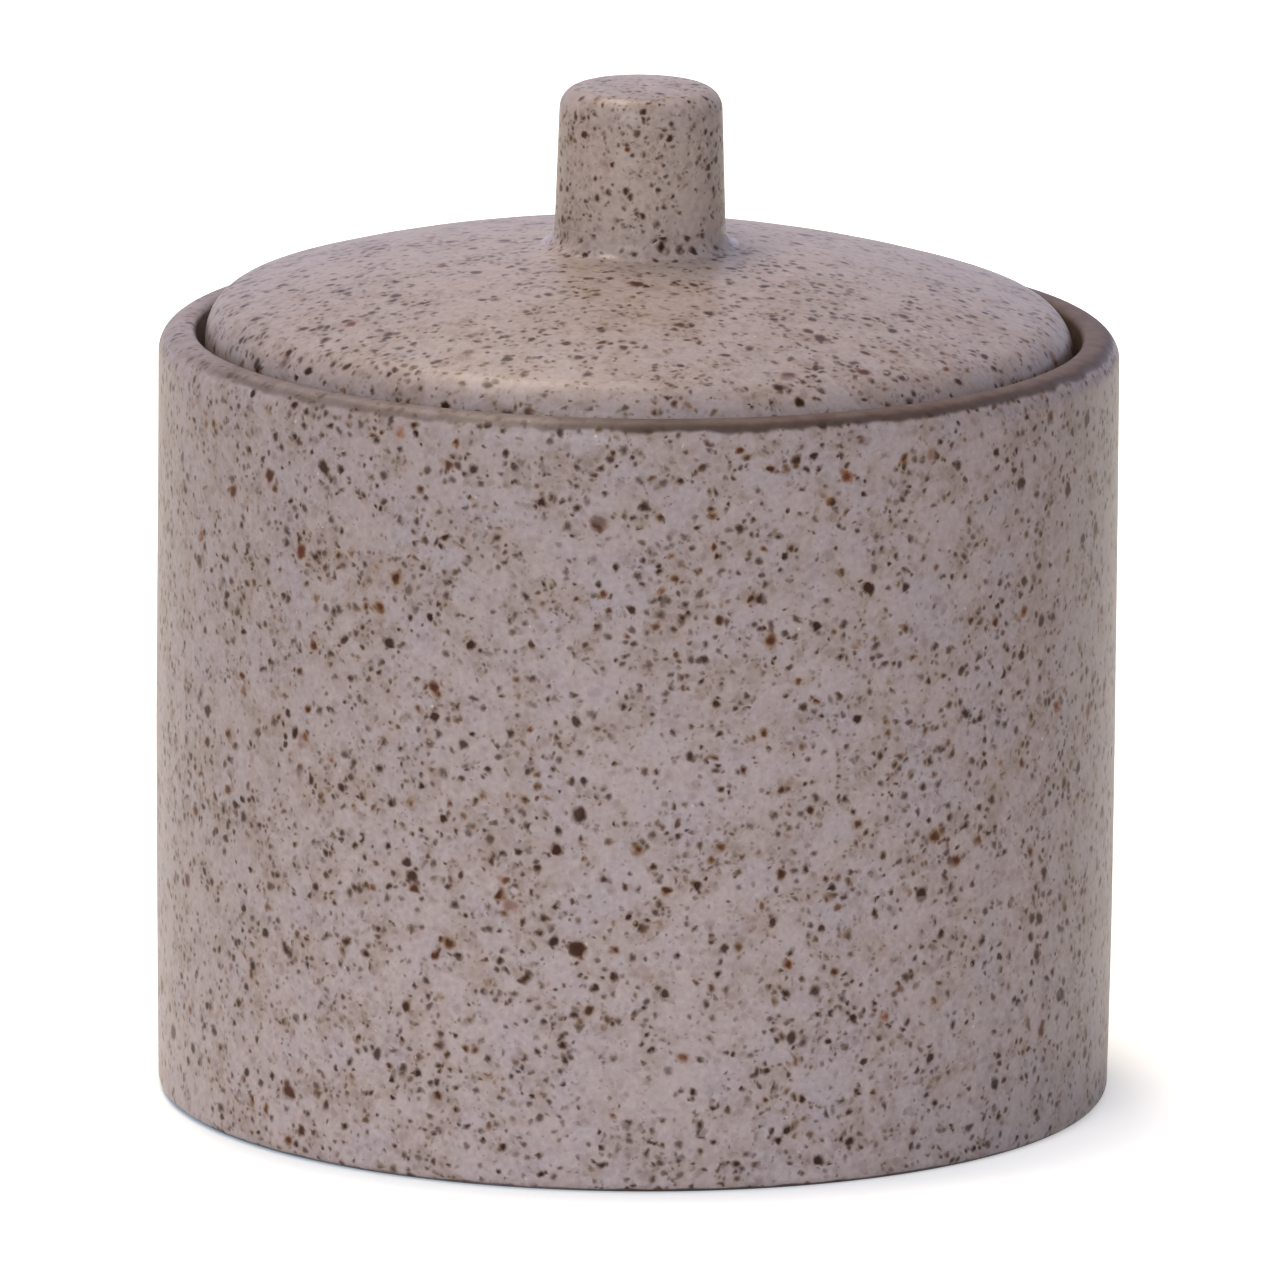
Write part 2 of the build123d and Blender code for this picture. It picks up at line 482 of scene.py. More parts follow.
@dataclass(frozen=True)
class SpeckledGlaze:
    """Satin feldspar glaze over iron-bearing stoneware. Sizes and heights are in millimetres.

    Iron in the clay burns through the pale glaze as brown specks, which bleed rust where they are large.
    Where the glaze is wiped off or runs thin, the clay shows darker and dull.

    Attributes:
        name: Name of the material.
        pink: Ground of the glaze.
        tan: Ground where specks crowd.
        lilac: Cooler patches of the ground.
        clay: Bare clay.
        scum: Greyer film on the bare clay.
        rim: Line where the glaze runs out.
        specks: Populations of specks, from those underneath to those on top.
        patch: Size of a patch of ground colour.
        clump: Size of a crowd of specks.
        grain: Size of the fine unevenness of the ground's colour.
        film: Size of a patch of film on the bare clay.
        ripple: Size of the faint unevenness of the glaze.
        ripple_depth: Depth of that unevenness.
        painted_bounce: How much paler the base is painted than the lip: painted bounce light from the floor.
        painted_bounce_top: Height up to which that painted light reaches.
        knob: Ground on the knob, where the glaze is thin and the clay warms it.
        thinning: Heights between which the ground turns to that of the knob.
        knob_share: Share of the knob's ground on its flank.
        painted_knob_top_shade: Heights between which less of the knob's ground is used at its top: painted
            shade.
        painted_knob_top_share: Share of the knob's ground on its top, kept low to paint shade on the top.
        joint: Height of the knob's joint, above which specks are finer.
        fineness: How much finer and closer the specks are there.
        hollow: Height of the hollow at the knob's foot, where glaze pools.
        hollow_reach: How far the hollow reaches up and down.
        satin: Roughness of the glaze.
        gloss: Roughness of the glaze in the hollow.
        dull: Roughness of the bare clay.
        ior: Index of refraction, below that of a glossy glaze because the satin surface scatters.
        ranks: Size and reach of the wandering that keeps specks out of even ranks.
        outlines: Size and reach of the wandering that makes their outlines ragged.
        stray: How far specks stray from the middles of their cells, from 0 to 1.
        rust_seed: Picks the specks that rust.
        rust_rim: Distances from a speck's middle, in radii, between which rust grows.
        rust_middle: Share of rust in the middle.
        bleed: Strength of the colour that bleeds from the least and from the most rusted specks.
        clay_specks: Strength of specks on bare clay.
        edge_wander: Size of one wandering of the glaze's edge.
        edge_reach: How far that edge wanders, as a share of bare clay.
        edge: Shares of bare clay between which the glaze runs out.
        line_start: Shares of bare clay between which the dark line comes up.
        line_end: Shares of bare clay between which it is gone and in full.
        line_strength: Strength of the line.
        left_patch: Size of a patch of the lip's left, where the share of bare clay varies.
        left_patch_clay: Shares of bare clay in such patches and between them.
        far_left_rise: Places towards +X between which the share of bare clay rises from that of the far left.
        far_left_clay: Share of bare clay before them.
        wiped: Places towards +X between which the lip becomes bare in full.
    """

    name: str = "speckled_stoneware_glaze"
    pink: str = "#a09495"
    tan: str = "#978986"
    lilac: str = "#9d9398"
    clay: str = "#533f36"
    scum: str = "#63524a"
    rim: str = "#382b26"
    # Spacing, smallest, largest, smallness, sparse, crowded, softness, weakest, strongest, colour, warm,
    # halo, halo_reach, rusting. The first are faint clouds of iron, then come specks from small to large,
    # pale dots that are painted glints, highlights of crystals in the glaze, and last a few spots of rust.
    specks: tuple[Specks, ...] = (
        Specks(0.95, 0.45, 1.10, 1.0, 0.25, 1.00, 1.00, 0.10, 0.42, "#624a3d", "#65513e"),
        Specks(0.50, 0.17, 0.32, 1.0, 0.14, 0.42, 0.90, 0.15, 0.65, "#432615", "#4c2c18"),
        Specks(0.80, 0.34, 0.54, 1.0, 0.13, 0.60, 0.72, 0.45, 1.0, "#341507", "#4e2b14", "#8f7a5c", 1.9),
        Specks(1.15, 0.50, 0.80, 1.0, 0.11, 0.74, 0.62, 0.75, 1.0, "#301205", "#5c3014", "#8f7a5a", 2.0),
        Specks(1.90, 0.74, 1.14, 1.4, 0.08, 0.55, 0.44, 0.90, 1.0, "#2a1004", "#5e2c0f", "#93744c", 1.9, 0.3),
        Specks(3.00, 1.00, 1.60, 1.5, 0.05, 0.24, 0.36, 0.95, 1.0, "#2e1205", "#6c340f", "#9a6838", 1.7, 0.6),
        # Painted glints: pale dots that stand in for highlights on crystals in the glaze.
        Specks(1.40, 0.14, 0.28, 1.0, 0.10, 0.30, 0.60, 0.20, 0.70, "#d8cec9", "#d8cec9"),
        Specks(6.50, 1.30, 2.00, 1.0, 0.10, 0.24, 0.34, 0.95, 1.0, "#421a08", "#74380f", "#a0703e", 1.6, 1.0),
    )
    patch: float = 5.0
    clump: float = 4.5
    grain: float = 0.6
    film: float = 1.8
    ripple: float = 1.6
    ripple_depth: float = 0.03
    painted_bounce: float = 1.24
    painted_bounce_top: float = 72.0
    knob: str = "#ad9d95"
    thinning: tuple[float, float] = (77.0, 90.0)
    knob_share: float = 0.8
    painted_knob_top_shade: tuple[float, float] = (97.0, 101.0)
    painted_knob_top_share: float = 0.3
    joint: float = 87.5
    fineness: float = 1.3
    hollow: float = 86.3
    hollow_reach: float = 1.1
    satin: float = 0.33
    gloss: float = 0.19
    dull: float = 0.5
    ior: float = 1.28
    ranks: tuple[float, float] = (2.2, 0.5)
    outlines: tuple[float, float] = (0.5, 0.2)
    stray: float = 0.8
    rust_seed: float = 5.0
    rust_rim: tuple[float, float] = (0.3, 1.1)
    rust_middle: float = 0.2
    bleed: tuple[float, float] = (0.12, 0.6)
    clay_specks: float = 0.6
    edge_wander: float = 3.0
    edge_reach: float = 0.35
    edge: tuple[float, float] = (0.57, 0.85)
    line_start: tuple[float, float] = (0.54, 0.68)
    line_end: tuple[float, float] = (1.0, 0.72)
    line_strength: float = 0.8
    left_patch: float = 4.0
    left_patch_clay: tuple[float, float] = (0.5, 0.7)
    far_left_rise: tuple[float, float] = (-46.0, -38.0)
    far_left_clay: float = 0.15
    wiped: tuple[float, float] = (-11.0, 2.0)

    def material(self) -> Material:
        """Make the material.

        Returns:
            The material, which reads Object coordinates and the clay attribute.
        """
        material = bpy.data.materials.new(self.name)
        material.use_nodes = True
        tree = material.node_tree
        tree.nodes.clear()
        place = add(tree, "ShaderNodeTexCoord").outputs["Object"]
        height = add(tree, "ShaderNodeSeparateXYZ", {0: place}).outputs["Z"]
        clay, line = self._clay(tree, place)

        clump = add(tree, "ShaderNodeTexNoise", {
            "Vector": place, "Scale": 1 / (self.clump * MM),
            "Detail": 1.0, "Roughness": 1.0, "Lacunarity": 2.8,
        })
        crowd = add(tree, "ShaderNodeMapRange", {
            "Value": clump.outputs[0], "From Min": 0.38, "From Max": 0.64,
        }).outputs[0]
        colour = self._ground(tree, place, height, crowd)
        finer = add(tree, "ShaderNodeMapRange", {
            "Value": height, "From Min": self.joint * MM, "From Max": (self.joint + 0.1) * MM,
            "To Min": 1.0, "To Max": self.fineness,
        })
        fine = add(tree, "ShaderNodeVectorMath", {0: place, "Scale": finer.outputs[0]}, operation="SCALE")
        drawn = self._wander(tree, fine.outputs[0], *self.ranks)
        ragged = self._wander(tree, drawn, *self.outlines)
        for index, specks in enumerate(self.specks):
            # Each population lies in a grid turned its own way, so that no surface runs along the grid.
            turned = add(tree, "ShaderNodeMapping", {
                "Vector": ragged, "Location": (0.41 * index, 0.17 * index, 0.29 * index),
                "Rotation": (0.6 + 0.5 * index, 0.9 + 0.3 * index, 0.4 + 0.7 * index),
            })
            colour = self._sprinkle(tree, specks, turned.outputs[0], crowd, clay, colour)
        film = add(tree, "ShaderNodeTexNoise", {
            "Vector": place, "Scale": 1 / (self.film * MM), "Detail": 4.0,
        })
        filmed = add(tree, "ShaderNodeMapRange", {
            "Value": film.outputs[0], "From Min": NOISE_LOW, "From Max": NOISE_HIGH,
        })
        body = add(tree, "ShaderNodeMix", {
            0: filmed.outputs[0], 6: linear(self.clay), 7: linear(self.scum),
        }, data_type="RGBA")
        bare = add(tree, "ShaderNodeMix", {0: clay, 6: colour, 7: body.outputs[2]}, data_type="RGBA")
        rimmed = add(tree, "ShaderNodeMix", {
            0: line, 6: bare.outputs[2], 7: linear(self.rim),
        }, data_type="RGBA")

        # Glaze pools in the hollow at the knob's foot, where it is glossier.
        hollow = add(tree, "ShaderNodeMath", {
            0: height, 1: self.hollow * MM, 2: self.hollow_reach * MM,
        }, operation="COMPARE")
        gloss = add(tree, "ShaderNodeMapRange", {
            "Value": hollow.outputs[0], "To Min": self.satin, "To Max": self.gloss,
        })
        rough = add(tree, "ShaderNodeMapRange", {
            "Value": clay, "To Min": gloss.outputs[0], "To Max": self.dull,
        })
        ripple = add(tree, "ShaderNodeTexNoise", {
            "Vector": place, "Scale": 1 / (self.ripple * MM), "Detail": 4.0,
        })
        bump = add(tree, "ShaderNodeBump", {
            "Strength": 1.0, "Distance": self.ripple_depth * MM, "Height": ripple.outputs[0],
        })
        shader = add(tree, "ShaderNodeBsdfPrincipled", {
            "Base Color": rimmed.outputs[2], "Roughness": rough.outputs[0], "IOR": self.ior,
            "Normal": bump.outputs[0],
        })
        add(tree, "ShaderNodeOutputMaterial", {"Surface": shader.outputs[0]})
        return material

    def _clay(self, tree: NodeTree, place: NodeSocket) -> tuple[NodeSocket, NodeSocket]:
        """Share of bare clay, with a slightly wandering edge, and of the dark line along that edge.

        Args:
            tree: Tree of the material.
            place: Object coordinates.

        Returns:
            Socket that runs from 0 on glaze to 1 on clay, and one that is above 0 on the line.
        """
        stored = add(tree, "ShaderNodeAttribute", attribute_name=CLAY_ATTRIBUTE, attribute_type="GEOMETRY")
        wander = add(tree, "ShaderNodeTexNoise", {
            "Vector": place, "Scale": 1 / (self.edge_wander * MM), "Detail": 2.0,
        })
        moved = add(tree, "ShaderNodeMath", {
            0: wander.outputs[0], 1: self.edge_reach, 2: stored.outputs["Fac"],
        }, operation="MULTIPLY_ADD")
        edge = add(tree, "ShaderNodeMapRange", {
            "Value": moved.outputs[0], "From Min": self.edge[0], "From Max": self.edge[1],
        }, interpolation_type="SMOOTHSTEP")
        # Less of the lip is bare clay towards the left, and little of it at the far left.
        left_patch = add(tree, "ShaderNodeTexNoise", {
            "Vector": place, "Scale": 1 / (self.left_patch * MM), "Detail": 3.0,
        })
        left = add(tree, "ShaderNodeMapRange", {
            "Value": left_patch.outputs[0], "From Min": NOISE_LOW, "From Max": NOISE_HIGH,
            "To Min": self.left_patch_clay[0], "To Max": self.left_patch_clay[1],
        })
        across = add(tree, "ShaderNodeSeparateXYZ", {0: place}).outputs["X"]
        far_left = add(tree, "ShaderNodeMapRange", {
            "Value": across, "From Min": self.far_left_rise[0] * MM, "From Max": self.far_left_rise[1] * MM,
            "To Min": self.far_left_clay, "To Max": left.outputs[0],
        }, interpolation_type="SMOOTHSTEP")
        wiped = add(tree, "ShaderNodeMapRange", {
            "Value": across, "From Min": self.wiped[0] * MM, "From Max": self.wiped[1] * MM,
            "To Min": far_left.outputs[0],
        }, interpolation_type="SMOOTHSTEP")
        bare = add(tree, "ShaderNodeMath", {0: edge.outputs[0], 1: wiped.outputs[0]}, operation="MULTIPLY")
        rising = add(tree, "ShaderNodeMapRange", {
            "Value": moved.outputs[0], "From Min": self.line_start[0], "From Max": self.line_start[1],
            "To Max": self.line_strength,
        }, interpolation_type="SMOOTHSTEP")
        falling = add(tree, "ShaderNodeMapRange", {
            "Value": moved.outputs[0], "From Min": self.line_end[0], "From Max": self.line_end[1],
        }, interpolation_type="SMOOTHSTEP")
        along = add(tree, "ShaderNodeMath", {
            0: rising.outputs[0], 1: falling.outputs[0],
        }, operation="MULTIPLY")
        line = add(tree, "ShaderNodeMath", {0: along.outputs[0], 1: wiped.outputs[0]}, operation="MULTIPLY")
        return bare.outputs[0], line.outputs[0]

    def _ground(self, tree: NodeTree, place: NodeSocket, height: NodeSocket,
                crowd: NodeSocket) -> NodeSocket:
        """Ground of the glaze: pink, tan where specks crowd, in soft patches lilac.

        Args:
            tree: Tree of the material.
            place: Object coordinates.
            height: The third of them.
            crowd: How crowded the specks are, from 0 to 1.

        Returns:
            Socket of the ground's colour.
        """
        warm = add(tree, "ShaderNodeMix", {
            0: crowd, 6: linear(self.pink), 7: linear(self.tan),
        }, data_type="RGBA")
        patches = add(tree, "ShaderNodeTexNoise", {
            "Vector": place, "Scale": 1 / (self.patch * MM), "Detail": 3.0,
        })
        lilac = add(tree, "ShaderNodeMapRange", {
            "Value": patches.outputs[0], "From Min": 0.55, "From Max": 0.3,
        })
        cool = add(tree, "ShaderNodeMix", {
            0: lilac.outputs[0], 6: warm.outputs[2], 7: linear(self.lilac),
        }, data_type="RGBA")
        grain = add(tree, "ShaderNodeTexNoise", {
            "Vector": place, "Scale": 1 / (self.grain * MM), "Detail": 2.0,
        })
        level = add(tree, "ShaderNodeMapRange", {
            "Value": grain.outputs[0], "From Min": 0.25, "From Max": 0.75, "To Min": 0.88, "To Max": 1.12,
        })
        # The glaze is painted paler towards the base: painted bounce light from the floor.
        painted_bounce = add(tree, "ShaderNodeMapRange", {
            "Value": height, "From Max": self.painted_bounce_top * MM, "To Min": self.painted_bounce, "To Max": 1.0,
        })
        paler = add(tree, "ShaderNodeMath", {0: level.outputs[0], 1: painted_bounce.outputs[0]}, operation="MULTIPLY")
        # It is thin on the dome and thinner on the knob's flank, and the clay warms it there. At the knob's
        # top less
        # of that ground is used: painted shade on the top, which faces the lamps above.
        thin = add(tree, "ShaderNodeMapRange", {
            "Value": height, "From Min": self.thinning[0] * MM, "From Max": self.thinning[1] * MM,
            "To Max": self.knob_share,
        })
        # The knob's top takes less of the knob's ground: painted shade.
        knob = add(tree, "ShaderNodeMapRange", {
            "Value": height, "From Min": self.painted_knob_top_shade[0] * MM, "From Max": self.painted_knob_top_shade[1] * MM,
            "To Min": thin.outputs[0], "To Max": self.painted_knob_top_share,
        })
        knob_tone_and_painted_shade = add(tree, "ShaderNodeMix", {
            0: knob.outputs[0], 6: cool.outputs[2], 7: linear(self.knob),
        }, data_type="RGBA")
        # The ground is scaled by its grain and by the painted bounce light.
        grain_and_painted_light = add(tree, "ShaderNodeVectorMath", {
            0: knob_tone_and_painted_shade.outputs[2], "Scale": paler.outputs[0],
        }, operation="SCALE")
        return grain_and_painted_light.outputs[0]

    def _wander(self, tree: NodeTree, place: NodeSocket, size: float, reach: float) -> NodeSocket:
        """Coordinates that wander a little, so that specks aren't round or in even ranks.

        Args:
            tree: Tree of the material.
            place: Coordinates to start from.
            size: Size of one wandering, in millimetres.
            reach: How far the coordinates wander, in millimetres.

        Returns:
            Socket of the wandering coordinates.
        """
        noise = add(tree, "ShaderNodeTexNoise", {"Vector": place, "Scale": 1 / (size * MM), "Detail": 1.0})
        centred = add(tree, "ShaderNodeVectorMath", {
            0: noise.outputs["Color"], 1: (0.5, 0.5, 0.5),
        }, operation="SUBTRACT")
        moved = add(tree, "ShaderNodeVectorMath", {
            0: centred.outputs[0], 1: (2 * reach * MM,) * 3, 2: place,
        }, operation="MULTIPLY_ADD")
        return moved.outputs[0]

    def _sprinkle(self, tree: NodeTree, specks: Specks, place: NodeSocket, crowd: NodeSocket,
                  clay: NodeSocket, colour: NodeSocket) -> NodeSocket:
        """Lay one population of specks over the glaze.

        Args:
            tree: Tree of the material.
            specks: The population.
            place: Coordinates that the specks lie in.
            crowd: How crowded the specks are, from 0 to 1.
            clay: Share of bare clay, which holds fewer specks.
            colour: Colour of the glaze so far.

        Returns:
            Socket of the glaze's colour with the specks.
        """
        cells = add(tree, "ShaderNodeTexVoronoi", {
            "Vector": place, "Scale": 1 / (specks.spacing * MM), "Randomness": self.stray,
        })
        # A cell's own colour tells where its point lies, so the chances are drawn anew from it.
        drawn = add(tree, "ShaderNodeTexWhiteNoise", {"Vector": cells.outputs["Color"]})
        chance = add(tree, "ShaderNodeSeparateColor", {0: drawn.outputs["Color"]})
        rust = add(tree, "ShaderNodeTexWhiteNoise", {
            "Vector": cells.outputs["Color"], "W": self.rust_seed,
        }, noise_dimensions="4D").outputs["Value"]
        share = add(tree, "ShaderNodeMapRange", {
            "Value": crowd, "To Min": specks.sparse, "To Max": specks.crowded,
        })
        spare = add(tree, "ShaderNodeMath", {0: share.outputs[0], 1: chance.outputs[1]}, operation="SUBTRACT")
        # A speck that is only just drawn is faint.
        held = add(tree, "ShaderNodeMapRange", {
            "Value": spare.outputs[0], "From Min": -0.05, "From Max": 0.05,
        })
        size = add(tree, "ShaderNodeMath", {0: chance.outputs[0], 1: specks.smallness}, operation="POWER")
        unit = 2 * specks.spacing
        radius = add(tree, "ShaderNodeMapRange", {
            "Value": size.outputs[0], "To Min": specks.smallest / unit, "To Max": specks.largest / unit,
        })
        # Distances are counted in radii of the speck from here on.
        away = add(tree, "ShaderNodeMath", {
            0: cells.outputs["Distance"], 1: radius.outputs[0],
        }, operation="DIVIDE").outputs[0]
        speck = add(tree, "ShaderNodeMapRange", {
            "Value": away, "From Min": 1 + specks.softness, "From Max": 1 - specks.softness,
        }, interpolation_type="SMOOTHSTEP")
        strength = add(tree, "ShaderNodeMapRange", {
            "Value": chance.outputs[2], "To Min": specks.weakest, "To Max": specks.strongest,
        })
        shown = add(tree, "ShaderNodeMath", {
            0: held.outputs[0], 1: strength.outputs[0],
        }, operation="MULTIPLY")
        thinned = add(tree, "ShaderNodeMapRange", {"Value": clay, "To Min": 1.0, "To Max": self.clay_specks})
        weight = add(tree, "ShaderNodeMath", {
            0: shown.outputs[0], 1: thinned.outputs[0],
        }, operation="MULTIPLY").outputs[0]
        if specks.halo:
            halo = add(tree, "ShaderNodeMapRange", {
                "Value": away, "From Min": specks.halo_reach, "From Max": 0.8,
            }, interpolation_type="SMOOTHSTEP")
            seep = add(tree, "ShaderNodeMapRange", {
                "Value": rust, "From Min": 0.6, "To Min": self.bleed[0], "To Max": self.bleed[1],
            })
            bled = add(tree, "ShaderNodeMath", {0: halo.outputs[0], 1: seep.outputs[0]}, operation="MULTIPLY")
            stain = add(tree, "ShaderNodeMath", {0: bled.outputs[0], 1: weight}, operation="MULTIPLY")
            stained = add(tree, "ShaderNodeMix", {
                0: stain.outputs[0], 6: colour, 7: linear(specks.halo),
            }, data_type="RGBA")
            colour = stained.outputs[2]
        mask = add(tree, "ShaderNodeMath", {0: speck.outputs[0], 1: weight}, operation="MULTIPLY")
        # Iron stays dark in the middle of a speck and rusts towards its rim, in some more than in others.
        rim = add(tree, "ShaderNodeMapRange", {
            "Value": away, "From Min": self.rust_rim[0], "From Max": self.rust_rim[1],
            "To Min": self.rust_middle,
        })
        rusted = add(tree, "ShaderNodeMapRange", {"Value": rust, "From Min": 1 - specks.rusting})
        rusty = add(tree, "ShaderNodeMath", {0: rim.outputs[0], 1: rusted.outputs[0]}, operation="MULTIPLY")
        tone = add(tree, "ShaderNodeMix", {
            0: rusty.outputs[0], 6: linear(specks.colour), 7: linear(specks.warm),
        }, data_type="RGBA")
        mixed = add(tree, "ShaderNodeMix", {
            0: mask.outputs[0], 6: colour, 7: tone.outputs[2],
        }, data_type="RGBA")
        return mixed.outputs[2]


class TurnedPiece:
    """Piece that is turned on the wheel, glazed, and put in the place of its CAD node.

    Attributes:
        name: Name of the piece.
        node: CAD node that it stands for.
        body: Body that it rides on.
        lean: How it sank in the kiln.
    """

    name: ClassVar[str]
    node: ClassVar[str]
    body: ClassVar[Body]
    lean: Lean = Lean()

    def section(self) -> HalfSection:
        """Half section that the piece is turned from."""
        raise NotImplementedError

    def build(self, wheel: Wheel, glaze: Material) -> Object:
        """Turn and dress the piece.

        Args:
            wheel: Wheel that turns it.
            glaze: Its finish.

        Returns:
            The piece, in the frame.
        """
        piece = wheel.turn(self.name, self.section(), glaze, self.lean)
        return settle(piece, self.body, self.node)


@dataclass
class Jar(TurnedPiece):
    """Straight-walled jar with a lip, a ledge for the lid and a turned foot. Sizes are in millimetres."""

    name: ClassVar[str] = "stoneware_jar"
    node: ClassVar[str] = "jar"
    body: ClassVar[Body] = Body.JAR
    wall: float = 4.2
    floor: float = 4.6
    inside_curve: float = 7.0
    base_edge: float = 1.2
    foot_width: float = 8.2
    foot_recess: float = 1.2
    foot_slope: float = 1.6
    foot_edge: float = 0.8
    lip_wall: float = 3.7
    lip_outer_edge: float = 2.4
    lip_inner_edge: float = 0.8
    draw_in: float = 0.43
    draw_in_height: float = 41.0
    draw_in_places: int = 7
    lean: Lean = Lean(slope=-0.003, slope_back=-0.008, low=72.5, high=76.0)
    seat_depth: float = 4.0
    seat_width: float = 3.65
    ledge_thickness: float = 2.6
    ledge_edge: float = 0.8
    ledge_root: float = 3.0
    radius: float = field(init=False)
    height: float = field(init=False)

    def __post_init__(self) -> None:
        """Take the overall size from the frame."""
        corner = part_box("jar")[1]
        self.radius = corner.x / MM
        self.height = corner.z / MM

    @property
    def seat_height(self) -> float:
        """Height of the ledge that the lid rests on."""
        return self.height - self.seat_depth

    @property
    def ledge_radius(self) -> float:
        """Radius of the opening inside the ledge."""
        return self.radius - self.lip_wall - self.seat_width

    def wall_radius(self, height: float) -> float:
        """Outer radius of the wall, which draws in towards the base."""
        return self.radius - self.draw_in * max(0.0, 1 - height / self.draw_in_height) ** 2

    def section(self) -> HalfSection:
        """Half section of the jar, from the middle of its underside to the middle of its floor."""
        step = self.draw_in_height / self.draw_in_places
        heights = [step * place for place in range(1, self.draw_in_places + 1)]
        inside = self.radius - self.wall
        mouth = self.radius - self.lip_wall
        foot = self.radius - self.foot_width
        floor = self.foot_recess + self.floor
        ledge_under = self.seat_height - self.ledge_thickness
        return HalfSection([
            Corner(0, self.foot_recess),
            Corner(foot - self.foot_slope, self.foot_recess, self.foot_edge, Surface.BARE),
            Corner(foot, 0, self.foot_edge, Surface.BARE),
            Corner(self.wall_radius(0), 0, self.base_edge),
            *[Corner(self.wall_radius(height), height) for height in heights],
            Corner(self.radius, self.height, self.lip_outer_edge, Surface.BARE),
            Corner(mouth, self.height, self.lip_inner_edge, Surface.BARE),
            Corner(mouth, self.seat_height, 0, Surface.BARE),
            Corner(self.ledge_radius, self.seat_height, self.ledge_edge),
            Corner(self.ledge_radius, ledge_under, self.ledge_edge),
            Corner(inside, ledge_under - (inside - self.ledge_radius), self.ledge_root),
            Corner(inside, floor, self.inside_curve),
            Corner(0, floor),
        ])


@dataclass
class Lid(TurnedPiece):
    """Domed lid with a seat, a locating ring and a collar for the knob. Sizes are in millimetres."""

    name: ClassVar[str] = "domed_lid"
    node: ClassVar[str] = "lid"
    body: ClassVar[Body] = Body.LID
    jar: Jar
    edge_height: float = 5.8
    shoulder: float = 4.4
    heel: float = 0.7
    thickness: float = 5.0
    ring_gap: float = 0.8
    ring_wall: float = 3.2
    ring_edge: float = 1.2
    ring_root: float = 3.0
    collar_rise: float = 2.0
    collar_curve: float = 1.8
    collar_flare: float = 0.06
    dome_places: int = 8
    lean: Lean = Lean(slope=-0.0144, low=72.5, high=78.0, near=9.0, far=25.0)
    radius: float = field(init=False)
    ring_height: float = field(init=False)
    joint_height: float = field(init=False)

    def __post_init__(self) -> None:
        """Take the overall size from the frame."""
        low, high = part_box("lid")
        self.radius = high.x / MM
        self.ring_height = low.z / MM
        self.joint_height = high.z / MM

    def section(self) -> HalfSection:
        """Half section of the lid, from the middle of its hollow to the middle of the collar."""
        seat = self.jar.seat_height
        edge = seat + self.edge_height
        crown = self.joint_height - self.collar_rise
        rise = crown - edge
        reach = (self.radius**2 + rise**2) / (2 * rise)
        dome = Sphere(reach, crown - reach)
        hollow = Sphere(reach - self.thickness, crown - reach)
        ring_outer = self.jar.ledge_radius - self.ring_gap
        ring_inner = ring_outer - self.ring_wall
        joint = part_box("knob")[1].x / MM
        collar = joint + self.collar_flare
        return HalfSection([
            Corner(0, hollow.height(0)),
            *hollow.corners(0, ring_inner, self.dome_places),
            Corner(ring_inner, hollow.height(ring_inner), self.ring_root),
            Corner(ring_inner, self.ring_height, self.ring_edge, Surface.BARE),
            Corner(ring_outer, self.ring_height, self.ring_edge, Surface.BARE),
            Corner(ring_outer, seat, 0, Surface.BARE),
            Corner(self.radius, seat, self.heel),
            Corner(self.radius, edge, self.shoulder),
            *dome.corners(self.radius, collar, self.dome_places),
            Corner(collar, dome.height(collar), self.collar_curve),
            Corner(joint, self.joint_height),
            Corner(0, self.joint_height),
        ])


@dataclass
class Knob(TurnedPiece):
    """Tapered knob with a rounded, slightly domed top. Sizes are in millimetres."""

    name: ClassVar[str] = "lid_knob"
    node: ClassVar[str] = "knob"
    body: ClassVar[Body] = Body.LID
    top_radius: float = 8.05
    crown: float = 0.35
    edge: float = 2.2
    crown_places: int = 3
    shave: float = 0.001  # keeps the top inside the CAD box
    radius: float = field(init=False)
    joint_height: float = field(init=False)
    height: float = field(init=False)

    def __post_init__(self) -> None:
        """Take the overall size from the frame."""
        low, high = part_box("knob")
        self.radius = high.x / MM
        self.joint_height = low.z / MM
        self.height = high.z / MM - self.shave

    def section(self) -> HalfSection:
        """Half section of the knob, from the middle of the joint to the middle of the top."""
        reach = (self.top_radius**2 + self.crown**2) / (2 * self.crown)
        top = Sphere(reach, self.height - reach)
        return HalfSection([
            Corner(0, self.joint_height),
            Corner(self.radius, self.joint_height),
            Corner(self.top_radius, top.height(self.top_radius), self.edge),
            *top.corners(self.top_radius - self.edge, 0, self.crown_places),
            Corner(0, self.height),
        ])


def settle(piece: Object, body: Body, node: str) -> Object:
    """Put a finished piece in the frame, in the place of its CAD node.

    Args:
        piece: The finished piece.
        body: Body that it rides on.
        node: CAD node that it stands for.

    Returns:
        The piece.
    """
    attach(piece, body.value)
    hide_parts(node)
    return piece


@dataclass(frozen=True)
class Softbox:
    """Large soft lamp, turned to the object. Sizes are in metres and angles in degrees.

    Attributes:
        name: Name of the lamp.
        azimuth: Direction that it stands in, from the camera to the camera's right.
        elevation: Height of that direction above the horizon.
        distance: Lamp to object.
        width: Length of its level sides.
        length: Length of its other sides.
        power: Watts.
        colour: Colour of its light.
    """

    name: str
    azimuth: float
    elevation: float
    distance: float
    width: float
    length: float
    power: float
    colour: str

    def hang(self, target: Vector) -> None:
        """Make the lamp and turn it to a point."""
        lamp = bpy.data.lights.new(self.name, "AREA")
        lamp.shape = "RECTANGLE"
        lamp.size = self.width
        lamp.size_y = self.length
        lamp.energy = self.power
        lamp.color = linear(self.colour)[:3]
        turn, rise = math.radians(self.azimuth), math.radians(self.elevation)
        level = math.cos(rise)
        direction = Vector((math.sin(turn) * level, -math.cos(turn) * level, math.sin(rise)))
        holder = bpy.data.objects.new(self.name, lamp)
        holder.location = target + direction * self.distance
        holder.rotation_mode = "QUATERNION"
        holder.rotation_quaternion = (-direction).to_track_quat("-Z", "Y")
        bpy.context.scene.collection.objects.link(holder)


